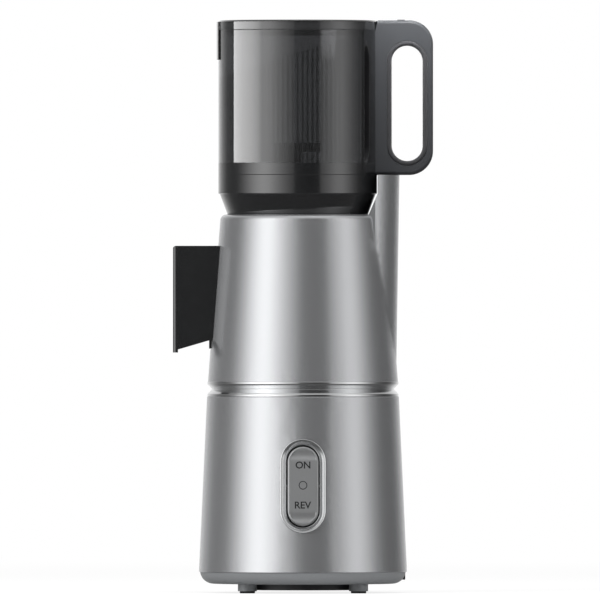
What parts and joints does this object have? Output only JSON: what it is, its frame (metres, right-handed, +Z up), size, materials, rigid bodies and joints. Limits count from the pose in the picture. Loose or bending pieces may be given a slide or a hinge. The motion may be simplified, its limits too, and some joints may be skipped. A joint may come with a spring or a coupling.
{
  "type": "cold press juicer",
  "caption": "Vertical cold press juicer with a wide smoked hopper, hinged lid, loop handle, front spout hood and geared motor base.",
  "frame": {"origin": "on the table under the axis of the round base, at the level of the rubber feet", "axes": "+Z up, -Y to the front where the spout hood is, +X to the side that carries the switch"},
  "size_m": [0.1904, 0.2184, 0.4812],
  "materials": {
    "dark_plastic": "matt moulded black plastic",
    "rubber": "matt black rubber",
    "screw_steel": "plain zinc plated steel",
    "satin_steel": "satin steel with a fine vertical grain",
    "bright_chrome": "polished chrome",
    "grey_plastic": "matt grey moulded plastic",
    "sheet_steel": "plain sheet steel",
    "cast_alloy": "cast aluminium",
    "bearing_steel": "ground steel",
    "core_steel": "stacked electrical steel",
    "copper_winding": "enamelled copper wire",
    "nylon": "natural nylon",
    "gloss_black": "gloss black plastic",
    "auger_resin": "dark grey food-grade resin",
    "dark_steel": "dark steel",
    "smoked_clear": "smoked clear plastic",
    "smoked_lid": "smoked clear plastic",
    "handle_plastic": "satin dark grey plastic",
    "grip_plastic": "soft matt black plastic",
    "switch_silver": "silver satin plastic",
    "board_green": "printed circuit board"
  },
  "bodies": {
    "base": {"bottom_cover": "grey_plastic", "vent_grille": "dark_plastic", "foot_pads": "rubber", "case_bolts": "screw_steel", "deck_standoffs": "screw_steel", "deck_screws": "screw_steel", "base_housing": "satin_steel", "trim_ring": "bright_chrome", "body_housing": "satin_steel", "chamber_well": "grey_plastic", "deck": "grey_plastic", "shaft_seal": "rubber", "chassis_plate": "sheet_steel", "motor_can": "sheet_steel", "motor_bell_lower": "cast_alloy", "motor_bell_upper": "cast_alloy", "motor_bearings": "bearing_steel", "stator_core": "core_steel", "stator_windings": "copper_winding", "gearbox_case": "grey_plastic", "gearbox_cover": "grey_plastic", "gearbox_screws": "screw_steel", "idler_pin": "bearing_steel", "output_bearings": "bearing_steel", "column_cap": "grey_plastic", "plunger_spring": "screw_steel", "microswitch": "dark_plastic", "switch_bezel": "bright_chrome", "switch_housing": "dark_plastic", "rocker_pin": "bearing_steel", "cord_gland": "rubber", "control_board": "board_green"},
    "rotor": {"rotor_core": "core_steel", "motor_shaft": "bearing_steel", "cooling_fan": "dark_plastic", "motor_pinion": "bearing_steel"},
    "idler": {"idler_wheel": "nylon", "idler_pinion": "bearing_steel"},
    "output": {"output_gear": "nylon", "drive_shaft": "bearing_steel"},
    "rocker_switch": {"rocker": "switch_silver"},
    "plunger": {"interlock_plunger": "grey_plastic"},
    "bowl_unit": {"bowl": "gloss_black", "bowl_seal": "rubber", "strainer": "sheet_steel"},
    "auger_unit": {"auger": "auger_resin", "drive_bush": "bearing_steel", "auger_knife": "dark_steel"},
    "hopper_unit": {"hopper": "smoked_clear", "hopper_seal": "rubber", "handle": "handle_plastic", "handle_grip": "grip_plastic", "handle_screws": "screw_steel", "button_spring": "screw_steel"},
    "lid_unit": {"lid": "smoked_lid", "hinge_pin": "bearing_steel"},
    "button_unit": {"lid_button": "grip_plastic"},
    "hood_unit": {"spout_hood": "gloss_black"},
    "chute_unit": {"pulp_chute": "gloss_black"}
  },
  "joints": [
    {"name": "rotor_spin", "type": "hinge", "parent": "base", "child": "rotor", "pos_m": [-0.01007, 0.01355, 0.06], "axis": [0, 0, 1], "continuous": true},
    {"name": "idler_spin", "type": "hinge", "parent": "base", "child": "idler", "pos_m": [-0.04125, -0.00445, 0.12], "axis": [0, 0, 1], "continuous": true},
    {"name": "output_spin", "type": "hinge", "parent": "base", "child": "output", "pos_m": [0, -0.00445, 0.15], "axis": [0, 0, 1], "continuous": true},
    {"name": "auger_spin", "type": "hinge", "parent": "bowl_unit", "child": "auger_unit", "pos_m": [0, -0.00445, 0.25], "axis": [0, 0, 1], "continuous": true},
    {"name": "rocker_tilt", "type": "hinge", "parent": "base", "child": "rocker_switch", "pos_m": [0.07606, 0, 0.08963], "axis": [0, 1, 0], "range_deg": [-8, 8], "stiffness_Nm_per_rad": 0.3},
    {"name": "interlock_press", "type": "slide", "parent": "base", "child": "plunger", "axis": [0, 0, 1], "range_m": [-0.003, 0], "stiffness_N_per_m": 200, "deforming": ["plunger_spring"]},
    {"name": "bowl_lift", "type": "slide", "parent": "base", "child": "bowl_unit", "axis": [0, 0, 1], "range_m": [0, 0.15]},
    {"name": "hopper_lift", "type": "slide", "parent": "bowl_unit", "child": "hopper_unit", "axis": [0, 0, 1], "range_m": [0, 0.08]},
    {"name": "lid_open", "type": "hinge", "parent": "hopper_unit", "child": "lid_unit", "pos_m": [0, 0.0662, 0.4775], "axis": [-1, 0, 0], "range_deg": [0, 95]},
    {"name": "lid_button_press", "type": "slide", "parent": "hopper_unit", "child": "button_unit", "axis": [0, 0, 1], "range_m": [-0.0025, 0], "stiffness_N_per_m": 200, "deforming": ["button_spring"]},
    {"name": "hood_pull", "type": "slide", "parent": "base", "child": "hood_unit", "axis": [0, -1, 0], "range_m": [0, 0.06]},
    {"name": "chute_pull", "type": "slide", "parent": "base", "child": "chute_unit", "axis": [-1, 0, 0], "range_m": [0, 0.05]}
  ],
  "couplings": [
    {"joint": "idler_spin", "follows": "rotor_spin", "ratio": -0.2},
    {"joint": "output_spin", "follows": "rotor_spin", "ratio": 0.044444},
    {"joint": "auger_spin", "follows": "rotor_spin", "ratio": 0.044444}
  ]
}
